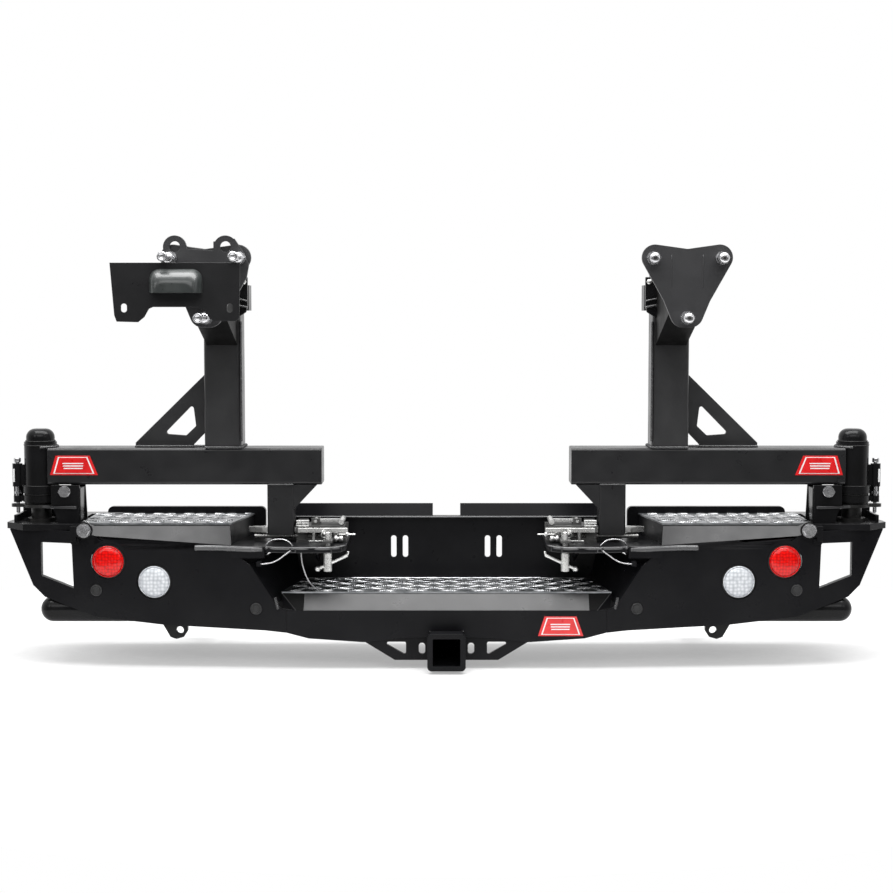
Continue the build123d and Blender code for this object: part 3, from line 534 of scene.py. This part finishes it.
# a white backdrop for the camera; what lights the object is bright ahead and above and dim behind the camera
world = bpy.data.worlds.new("studio")
bpy.context.scene.world = world
world.use_nodes = True
tree = world.node_tree
tree.nodes.clear()
coord = tree.nodes.new("ShaderNodeTexCoord")
split = tree.nodes.new("ShaderNodeSeparateXYZ")
tree.links.new(coord.outputs["Generated"], split.inputs["Vector"])
both = tree.nodes.new("ShaderNodeMath")
both.operation = "MAXIMUM"
tree.links.new(spread(tree, split.outputs["Y"], 0.10, 1.0, -0.55, 0.25), both.inputs[0])
tree.links.new(spread(tree, split.outputs["Z"], 0.0, 1.0, 0.25, 0.75), both.inputs[1])
seen = tree.nodes.new("ShaderNodeLightPath")
pick = tree.nodes.new("ShaderNodeMix")
pick.data_type = "FLOAT"
pick.inputs["B"].default_value = 1.0
tree.links.new(seen.outputs["Is Camera Ray"], pick.inputs["Factor"])
tree.links.new(both.outputs["Value"], pick.inputs["A"])
glow = tree.nodes.new("ShaderNodeBackground")
glow.inputs["Color"].default_value = (1.0, 1.0, 1.0, 1.0)
tree.links.new(pick.outputs["Result"], glow.inputs["Strength"])
sky = tree.nodes.new("ShaderNodeOutputWorld")
tree.links.new(glow.outputs["Background"], sky.inputs["Surface"])


def softbox(name, place, target, width, height, power):
    """A rectangular studio light aimed at a point."""
    data = bpy.data.lights.new(name, "AREA")
    data.shape = "RECTANGLE"
    data.size = width
    data.size_y = height
    data.energy = power
    obj = link(name, data)
    obj.location = place
    obj.rotation_euler = (Vector(target) - Vector(place)).to_track_quat("-Z", "Y").to_euler()


MIDDLE = (0.0, -0.2, 0.2)
softbox("overhead", (0.0, -0.45, 2.6), MIDDLE, 3.8, 1.5, 150.0)
softbox("front_top", (0.0, -4.6, 2.9), MIDDLE, 4.5, 1.6, 60.0)
softbox("front_left", (-2.6, -2.8, 1.8), MIDDLE, 1.0, 1.0, 9.0)
softbox("front_right", (2.6, -2.8, 1.6), MIDDLE, 1.0, 1.0, 6.0)
bpy.context.scene.view_settings.view_transform = "Standard"


# ---------------------------------------------------------------- rounded edges on the coated sheet and tube
def softened(node_name, width, lip=None, lit_edges=False):
    """A copy of a CAD node with its sharp edges rounded, which stands for the node.

    A lip material, a lighter copy of the coat, goes on slopes that look up and to the rear as painted sheen,
    and with lit_edges on the rounded edges too as painted highlight.
    """
    node = NODES[node_name]
    bm = bmesh.new()
    bm.from_mesh(node.data)
    bmesh.ops.remove_doubles(bm, verts=bm.verts, dist=0.00002)
    bmesh.ops.dissolve_limit(bm, angle_limit=math.radians(0.6), verts=bm.verts, edges=bm.edges)
    data = bpy.data.meshes.new(node_name + "_soft")
    bm.to_mesh(data)
    bm.free()
    obj = link(node_name + "_soft", data)
    data.materials.append(node.data.materials[0])
    if lip:
        data.materials.append(lip)
    for face in data.polygons:
        face.use_smooth = True
        # slopes that look up and to the rear take the lighter copy: painted sheen
        if lip and 0.15 < face.normal.z < 0.98 and face.normal.y < -0.2:
            face.material_index = 1
    mod = obj.modifiers.new("edges", "BEVEL")
    mod.width = width
    mod.segments = 2
    mod.material = 1 if lit_edges else -1
    mod.limit_method = "ANGLE"
    mod.angle_limit = math.radians(24)
    mod.use_clamp_overlap = True
    even = obj.modifiers.new("normals", "WEIGHTED_NORMAL")
    even.weight = 100
    even.keep_sharp = True
    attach(obj, node["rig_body"])
    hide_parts(node_name)


EDGE_WIDTH = {
    "wing_face": 0.0010, "hinge_base": 0.0014, "hinge_bracket": 0.0012, "carrier_post": 0.0012,
    "drop_leg": 0.0010, "wheel_plate": 0.0012, "arm_beam": 0.0014,
}
softened("centre_fascia", 0.0010, BLACK_LIP_LIT)
for name in ("back_panel", "hitch_plate", "hitch_receiver"):
    softened(name, 0.0012)
softened("number_plate_bracket", 0.0006)
softened("adaptor_plate", 0.0012)
for side, hand in SIDES:
    for name, width in EDGE_WIDTH.items():
        softened(f"{hand}_{name}", width)
    softened(hand + "_wing_riser", 0.0010, BLACK_RISER_LIT)
    softened(hand + "_latch_shelf", 0.0030, BLACK_EDGE_LIT, True)

# ---------------------------------------------------------------- treads
CELL = 0.0300      # side of a square cell, which holds five bars side by side
BAR_STEP = 0.0056  # between neighbouring bars
LUG_LONG = 0.0098  # half length of a bar
LUG_WIDE = 0.0019  # half width
LUG_HIGH = 0.0016


def top_faces(node):
    """The node's level upper faces as flat outlines, with their height."""
    data = NODES[node].data
    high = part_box(node)[1].z
    found = []
    for face in data.polygons:
        if face.normal.z > 0.9 and abs(face.center.z - high) < 0.0006:
            found.append([(data.vertices[i].co.x, data.vertices[i].co.y) for i in face.vertices])
    return found, high


def inside(outlines, x, y):
    """Whether a point lies in any of the outlines."""
    for points in outlines:
        hit = False
        for (x0, y0), (x1, y1) in zip(points, points[1:] + points[:1]):
            if (y0 > y) != (y1 > y) and x < (x1 - x0) * (y - y0) / (y1 - y0) + x0:
                hit = not hit
        if hit:
            return True
    return False


def add_lug(bm, x, y, z, angle, count=12):
    """One raised lens-shaped bar of the tread pattern."""
    along = Vector((math.cos(angle), math.sin(angle), 0))
    across = Vector((-along.y, along.x, 0))
    rings = []
    for scale, height in ((1.0, -0.0002), (0.90, LUG_HIGH * 0.65), (0.62, LUG_HIGH)):
        ring = []
        for i in range(count):
            a = 2 * math.pi * i / count
            long = LUG_LONG * (0.35 + 0.65 * scale) * math.cos(a)
            wide = LUG_WIDE * scale * math.copysign(abs(math.sin(a)) ** 1.15, math.sin(a))
            ring.append(bm.verts.new(Vector((x, y, z + height)) + along * long + across * wide))
        rings.append(ring)
    add_skin(bm, rings)


def tread_pattern(node):
    """Raised bars over the whole top of a tread plate: cells of five, in alternate directions."""
    outlines, z = top_faces(node)
    lo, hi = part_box(node)
    bm = bmesh.new()
    columns = int((hi.x - lo.x) / CELL) + 2
    rows = int((hi.y - lo.y) / CELL) + 2
    for i, j, k in itertools.product(range(columns), range(rows), range(-2, 3)):
        angle = math.radians(45 if (i + j) % 2 else -45)
        along = Vector((math.cos(angle), math.sin(angle)))
        across = Vector((-along.y, along.x))
        middle = Vector((lo.x + i * CELL, lo.y + (j + 0.3) * CELL)) + across * (k * BAR_STEP)
        ends = [middle + along * (t * LUG_LONG * 1.1) for t in (-1, 0, 1)]
        if all(inside(outlines, p.x, p.y) for p in ends):
            add_lug(bm, middle.x, middle.y, z, angle)
    piece(node + "_bars", bm, LUG_LIT, "bar")


for node in ("centre_tread", "left_wing_tread", "right_wing_tread"):
    tread_pattern(node)

# ---------------------------------------------------------------- lamps and plugs
WING_RUN, WING_RISE = 361.0, 21.0  # how far the wing's front runs across, and forward by its outer end
WING_START = (300.0, -309.0)       # X and Y of a point on its front
FACE_NORMAL = Vector((WING_RISE, -WING_RUN, 0.0)).normalized()
LENS = [(27.5, -3.0), (27.5, 0.6), (26.8, 2.2), (24.0, 3.9), (18.5, 5.2), (10.0, 5.9), (0.05, 6.1)]
RIM = [(29.6, -3.0), (29.8, 0.8), (29.2, 2.0), (28.2, 2.2), (27.5, 1.4), (27.5, -3.0)]
GROMMET = [(32.6, -6.0), (32.4, -2.4), (31.6, -1.2), (30.6, -0.6), (29.9, -0.8), (29.9, -6.0)]
DIODE_SPOTS = ((8.0, 6.5), (12.5, 5.5), (8.5, 0.5), (12.0, -3.5), (7.0, -9.0), (-6.0, 9.5), (-11.0, 2.0))
DIODE_HALF = 0.0014                # half a diode's side
LENS_TOP = 0.0059                  # height of a lens's dome
LENS_FALL = 0.0000135              # drop of the dome for each square millimetre off its middle


def face_point(x, z):
    """A point in millimetres on the wing's front."""
    return x, WING_START[1] + (x - WING_START[0]) * WING_RISE / WING_RUN, z


def lamp(name, node, place, mat, side):
    """Domed lens in a rubber grommet with a bright rim."""
    glass = turned(name + "_lens", place, FACE_NORMAL, LENS, mat, "bar", side, 56)
    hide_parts(node)
    turned(name + "_rim", place, FACE_NORMAL, RIM, mat, "bar", side, 56)
    turned(name + "_grommet", place, FACE_NORMAL, GROMMET, RUBBER, "bar", side, 56)


def diodes(name, place, side):
    """A few small squares set into the dome of a clear lens, as lit diodes."""
    bm = bmesh.new()
    axis = sided([FACE_NORMAL], side)[0]
    across = Vector((-axis.y, axis.x, 0.0))
    centre = sided([mm(*place)], side)[0]
    for i, j in DIODE_SPOTS:
        dome = LENS_TOP - LENS_FALL * (i * i + j * j)
        spot = centre + across * (i / 1000.0) + UP * (j / 1000.0) + axis * (dome - 0.0009)
        corners = [spot + across * (a * DIODE_HALF) + UP * (b * DIODE_HALF)
                   for a, b in ((-1, -1), (1, -1), (1, 1), (-1, 1))]
        add_prism(bm, corners, axis * 0.0011)
    piece(name + "_diodes", bm, DIODE, "bar", 0.0002)


for side, hand in SIDES:
    lamp(hand + "_tail_lamp", "tail_lamps", face_point(635, 122.5), RED, side)
    lamp(hand + "_reverse_lamp", "reverse_lamps", face_point(548, 85), CLEAR, side)
    diodes(hand + "_reverse_lamp", face_point(548, 85), side)
    for count, (x, z) in enumerate(((658, 68), (356, 36))):
        bm = bmesh.new()
        axis = sided([FACE_NORMAL], side)[0]
        spot = sided([mm(*face_point(x, z))], side)[0] + axis * 0.0006
        add_torus(bm, spot, axis, 0.0098, 0.0010)
        add_torus(bm, spot + axis * 0.0002, axis, 0.0062, 0.0006)
        piece(f"{hand}_plug_rings_{count}", bm, PLASTIC, "bar")


# ---------------------------------------------------------------- badges
BADGE_LAYERS = (
    (1.0, 0.0, BADGE_RED, "edge"), (0.86, 0.0005, BADGE_WHITE, "line"), (0.79, 0.0009, BADGE_RED, "field"),
)
ARM_BADGE = [(742, 317.5), (677, 317.5), (662, 280.5), (753, 280.5)]
FASCIA_BADGE = [(183, 22), (243, 22), (256, -15), (171, -15)]


def badge(name, outline, y, side, body):
    """Red four-sided badge with a white border and three plain bars; its corners run TL, TR, BR, BL."""
    corners = [Vector((x / 1000.0 * side, y, z / 1000.0)) for x, z in outline]
    centre = sum(corners, Vector()) / 4
    for scale, lift, mat, tag in BADGE_LAYERS:
        bm = bmesh.new()
        add_prism(bm, [centre + (c - centre) * scale + REAR * lift for c in corners], REAR * 0.0005)
        piece(f"{name}_{tag}", bm, mat, body, 0.0002)
    field = BADGE_LAYERS[-1][0]
    top_left, top_right, low_right, low_left = [centre + (c - centre) * field for c in corners]
    drop = (low_left - top_left) * 0.07
    bm = bmesh.new()
    for k in range(3):
        t = 0.34 + 0.16 * k
        start, end = top_left.lerp(low_left, t), top_right.lerp(low_right, t)
        left, right = start.lerp(end, 0.16 + 0.03 * k), start.lerp(end, 0.84 - 0.03 * k)
        add_prism(bm, [p + REAR * 0.0013 for p in (left, right, right + drop, left + drop)], REAR * 0.0003)
    piece(name + "_bars", bm, BADGE_WHITE, body, 0.0001)


for side, hand in SIDES:
    arm_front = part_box(hand + "_arm_beam")[0].y - 0.0001
    badge(hand + "_arm_badge", ARM_BADGE, arm_front, side, hand + "_arm")
fascia_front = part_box("centre_fascia")[0].y - 0.0001
badge("fascia_badge", FASCIA_BADGE, fascia_front, 1, "bar")

# ---------------------------------------------------------------- welds
TOP_BEAD = ARM_TOP + 0.2  # Z of the middle of a bead on the arm
PIVOT_BEAD_R = 32.2       # radius of the bead round the hinge tube
# each bead's points and its radius
BEADS = {
    "post_front": ([(POST_IN, -235.6, TOP_BEAD), (POST_OUT, -235.6, TOP_BEAD)], 2.6),
    "post_back": ([(POST_IN, -164.4, TOP_BEAD), (POST_OUT, -164.4, TOP_BEAD)], 2.6),
    "post_inner": ([(388.2, -234, TOP_BEAD), (388.2, -166, TOP_BEAD)], 2.6),
    "gusset_front": ([(462, -205, TOP_BEAD), (596, -205, TOP_BEAD)], 2.4),
    "gusset_back": ([(462, -195, TOP_BEAD), (596, -195, TOP_BEAD)], 2.4),
    "gusset_up": ([(460.2, -205, 336), (460.2, -205, 470)], 2.2),
    "corner": ([(388.4, -235.8, 345), (388.4, -235.8, 572)], 2.6),
    "pivot_top": ([(PIVOT_X + PIVOT_BEAD_R * math.cos(a), PIVOT_Y + PIVOT_BEAD_R * math.sin(a), ARM_TOP)
                   for a in (math.radians(100 + 160 * k / 12) for k in range(13))], 2.5),
    "pivot_front": ([(757.5, -225.5, 263), (757.5, -225.5, 331)], 3.0),
    "leg_front": ([(291, -235.4, 262.5), (340, -235.4, 262.5)], 2.0),
}
BAR_BEADS = {
    "step_end": ([(314.5, -310.6, 36), (317.5, -310.0, 47), (320, -309.3, 58)], 3.4),
    "pipe": ([(652, -262, 45), (700, -258, 47)], 2.4),
    "socket_side": ([(33.2, -304.2, -8), (33.2, -304.2, -58)], 2.6),
}
for side, hand in SIDES:
    for body, beads in ((hand + "_arm", BEADS), ("bar", BAR_BEADS)):
        for name, (points, radius) in beads.items():
            weld(f"{hand}_weld_{name}", points, radius, body, side)
weld("weld_socket_top", [(-30, -304.2, -4.2), (30, -304.2, -4.2)], 2.8, "bar")

# ---------------------------------------------------------------- rolled edges in a lighter copy of the coat as painted highlight, and a painted shade sheet at each step end
DECK_EDGE = [(470, -301.2, 150.0), (438, -303.0, 150.4), (404, -303.6, 149.2), (372, -303.4, 147.6),
             (344, -302.0, 147.0)]
SHELF_EDGE = [(338, -300.6), (322, -305.2), (306, -308.2), (290, -310.8), (262, -312.4), (240, -311.6),
              (219, -308.0), (201, -295.6), (192.6, -278)]
STEP_SHADE_CORNERS = [(267, -309, 33), (281, -309, 33), (308.5, -284.4, 62), (267, -284, 62)]
LIP_OUT = Vector((0.0, -0.757, 0.653))  # square to the centre fascia's sloping lip
for side, hand in SIDES:
    rod(hand + "_deck_edge", DECK_EDGE, 5.4, BLACK_EDGE_LIT, "bar", side)
    rim = [(x, y, SHELF_TOP) for x, y in SHELF_EDGE]
    rod(hand + "_shelf_edge", rim, 3.3, BLACK_EDGE_LIT, "bar", side)
    # a thin dark sheet on the fascia's lip at the step's end, in the darker copy of the coat: painted shade
    bm = bmesh.new()
    corners = sided([mm(*p) for p in STEP_SHADE_CORNERS], side)
    add_prism(bm, [p + LIP_OUT * 0.0001 for p in corners], LIP_OUT * 0.0006)
    piece(hand + "_step_corner", bm, BLACK_SHADE, "bar", 0.0002)
# a light line along the back panel's ledge: painted highlight
ledge = [(x, -126.2, 188.4) for x in (-340, -170, 0, 170, 340)]
rod("panel_ledge_edge", ledge, 1.7, BLACK_EDGE_LIT, "bar")
# a light line along the back of the centre tread, in the bars' lighter alloy: painted highlight
tread_back = [(x, -114.5, 65.6) for x in (-281, -140, 0, 140, 281)]
rod("tread_back_edge", tread_back, 1.5, LUG_LIT, "bar")

# ---------------------------------------------------------------- hinge ends
# Z, radius and thickness of each ring
HINGE_RINGS = ((242, 30.6, 1.6), (258.4, 32.8, 0.9), (336, 31.2, 0.7), (343.5, 27.9, 1.0))
GUIDE_LABEL = (826.2, -210.6, 265), (829.4, -209.0, 290)
WING_JOINT = (690, -281, 154), (706, -273.5, 163)
GUIDE_STRAP = (814, -194.8, 236), (832, -190.6, 258)
TONGUE = [(774, -229), (755, -243.4), (704, -252.6), (700.5, -250), (703, -245.6), (750, -244.9), (758, -224)]
TONGUE_LOW, TONGUE_THICK = 217.4, 5.2  # Z of the index tongue's underside, and its thickness
for side, hand in SIDES:
    arm = hand + "_arm"
    bm = bmesh.new()
    for z, radius, thick in HINGE_RINGS:
        add_torus(bm, sided([mm(PIVOT_X, PIVOT_Y, z)], side)[0], UP, radius / 1000.0, thick / 1000.0)
    piece(hand + "_hinge_rings", bm, RUBBER, arm)
    block(hand + "_guide_label", *GUIDE_LABEL, BADGE_WHITE, arm, "black_plastic", side, 0.3)
    block(hand + "_wing_joint", *WING_JOINT, BLACK, "bar", "black_coat", side, 0.5)
    block(hand + "_guide_strap", *GUIDE_STRAP, GLOSS, arm, "black_coat", side, 0.6)
    bm = bmesh.new()
    add_prism(bm, sided([mm(x, y, TONGUE_LOW) for x, y in TONGUE], side), UP * (TONGUE_THICK / 1000.0))
    piece(hand + "_index_tongue", bm, WELD_LIT, "bar", 0.0008)

# ---------------------------------------------------------------- latches
LATCH_BACK = -236.2  # Y of the back of the frame round a latch
LATCH_BLOCKS = {
    "rail": ((188, -241, 171), (283, LATCH_BACK, 180)),
    "post_0": ((218.5, -240, 155), (225, LATCH_BACK, 171)),
    "post_1": ((250, -240, 155), (255, LATCH_BACK, 171)),
    "foot": ((214, -240, 152.4), (262, LATCH_BACK, 156)),
}
for count, low in enumerate((182.4, 186.8, 191.2)):
    LATCH_BLOCKS[f"plate_{count}"] = ((262, -238, low), (286, -229, low + 3.0))
LATCH_STUB = [(3.6, 0), (5.2, 0.8), (5.6, 2), (5.6, 7.5), (3.9, 8.2), (3.9, 11), (6.4, 11.6), (6.4, 16),
              (4.0, 17), (0.05, 17.2)]
LATCH_NUT = [(2.0, 0), (4.3, 0.6), (4.3, 5.4), (2.2, 6.0), (0.05, 6.1)]
PIN_HOOK = [(188.5, -285, 133.0), (185.8, -285, 135.4), (184.8, -285, 141.5)]
for side, hand in SIDES:
    for tag, (lo, hi) in LATCH_BLOCKS.items():
        block(f"{hand}_latch_{tag}", lo, hi, ZINC, "bar", "zinc", side, 0.9)
    turned(hand + "_latch_stub", (196.5, -244, 160), (1, 0, 0), LATCH_STUB, ZINC, "bar", side, 28)
    turned(hand + "_latch_nut", (186, -240, 168), (1, 0, 0), LATCH_NUT, ZINC, "bar", side, 6)
    rod(hand + "_latch_screw", [(x, -240, 168) for x in (173, 186, 205)], 1.3, ZINC, "bar", side)
    bm = bmesh.new()
    clip = sided([mm(233, -243.4, 167)], side)[0]
    add_torus(bm, clip, (0.3 * side, 1, 0.2), 0.0052, 0.0011, 32, 8)
    add_torus(bm, clip + mm(0, -1.4, 5.5), (0.8 * side, 1, -0.3), 0.0036, 0.0010, 28, 8)
    piece(hand + "_latch_clip", bm, ZINC, "bar")
    rod(hand + "_pin_hook", PIN_HOOK, 2.3, ZINC, hand + "_pin", side)

# ---------------------------------------------------------------- wheel plates
PLATE_SEAT, ADAPTOR_SEAT = -458, -466  # Y of what a nut sits on
NUT_LONG = 33.8                        # from the seat to the nut's end
TIP_END = -566                         # Y of the left studs' ends
NUT_MOUTH = [(3.0, 0), (2.6, 0.8), (0.05, 1.0)]
LINE_X = 27.5                          # from the middle of a plate to each faint line down its front
LINE_TOP, LINE_STEP = 0.690, 0.0045    # metres
for side, hand in SIDES:
    arm = hand + "_arm"
    for count, angle in enumerate(STUD_ANGLES):
        a = math.radians(angle)
        x, z = WHEEL_X + STUD_CIRCLE * math.cos(a), WHEEL_Z + STUD_CIRCLE * math.sin(a)
        seat = ADAPTOR_SEAT if side < 0 and angle < 180 else PLATE_SEAT
        mouth = (x, seat - NUT_LONG, z)
        turned(f"{hand}_nut_mouth_{count}", mouth, REAR, NUT_MOUTH, SPINDLE, arm, side, 28)
        if side < 0:
            end = seat - TIP_END
            tip = [(5.0, 30), (5.0, end - 13), (7.4, end - 12.8), (8.6, end - 11.6), (8.6, end - 1.2),
                   (7.6, end), (5.2, end), (4.8, end - 1.5), (0.05, end - 1.6)]
            turned(f"{hand}_stud_tip_{count}", (x, seat, z), REAR, tip, CHROME, arm, side, 28)
    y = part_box(hand + "_wheel_plate")[0].y + 0.0004
    for offset, tag in ((-LINE_X, "in"), (LINE_X, "out")):
        bm = bmesh.new()
        x = (WHEEL_X + offset) / 1000.0 * side
        path = [Vector((x, y, LINE_TOP - LINE_STEP * k)) for k in range(14)]
        add_sweep(bm, path, 0.0012, 8, ripple=0.1, pitch=0.004)
        piece(f"{hand}_plate_line_{tag}", bm, BLACK_PLATE, arm)

# ---------------------------------------------------------------- post catches
CATCH = [(374, 655), (388, 655), (408, 615), (404, 599), (394, 578), (377, 589), (374, 602)]
CATCH_Y, CATCH_THICK = -244, 8.5
CATCH_BOLT = [(4.6, 0), (5.4, 1.0), (5.4, 5.0), (3.6, 6.2), (0.05, 6.4)]
for side, hand in SIDES:
    arm = hand + "_arm"
    bm = bmesh.new()
    add_prism(bm, sided([mm(x, CATCH_Y, z) for x, z in CATCH], side), FRONT * (CATCH_THICK / 1000.0))
    piece(hand + "_catch_plate", bm, GLOSS, arm, 0.0016)
    for tag, z, radius in (("upper", 613, 1.76), ("lower", 601, 2.2)):
        fold = [(375, -244.6, z - 3), (388, -245.2, z), (403, -244.6, z + 2)]
        rod(f"{hand}_catch_fold_{tag}", fold, radius, WELD_LIT, arm, side)
    turned(hand + "_catch_bolt", (381, CATCH_Y, 646), REAR, CATCH_BOLT, ZINC, arm, side, 6)

# ---------------------------------------------------------------- number plate lamp hood
HOOD_TOP_IN, HOOD_SIDE_IN = 0.027, 0.015  # how far the dome draws in by its front
HOOD_CORNER = 0.017                       # radius of its upper corners
hood_lo, hood_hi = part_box("number_plate_lamp")
middle = (hood_lo.x + hood_hi.x) / 2
bm = bmesh.new()
rings = []
for k in range(13):
    a = math.radians(7.5 * k)
    half = (hood_hi.x - hood_lo.x) / 2 - HOOD_SIDE_IN * (1 - math.cos(a))
    top = hood_hi.z - HOOD_TOP_IN * (1 - math.cos(a))
    corner = min(HOOD_CORNER, top - hood_lo.z - 0.001)
    y = hood_hi.y + (hood_lo.y - hood_hi.y) * math.sin(a)
    ring = [(-half, hood_lo.z)]
    for i in range(9):
        b = math.radians(180 - 90 * i / 8)
        ring.append((-half + corner + corner * math.cos(b), top - corner + corner * math.sin(b)))
    ring += [(-x, z) for x, z in reversed(ring)]
    rings.append([bm.verts.new((middle + x, y, z)) for x, z in ring])
add_skin(bm, rings)
hood = piece("plate_lamp_hood", bm, HOOD, "left_arm")
creases = hood.modifiers.new("edges", "EDGE_SPLIT")
creases.split_angle = math.radians(50)
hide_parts("number_plate_lamp")
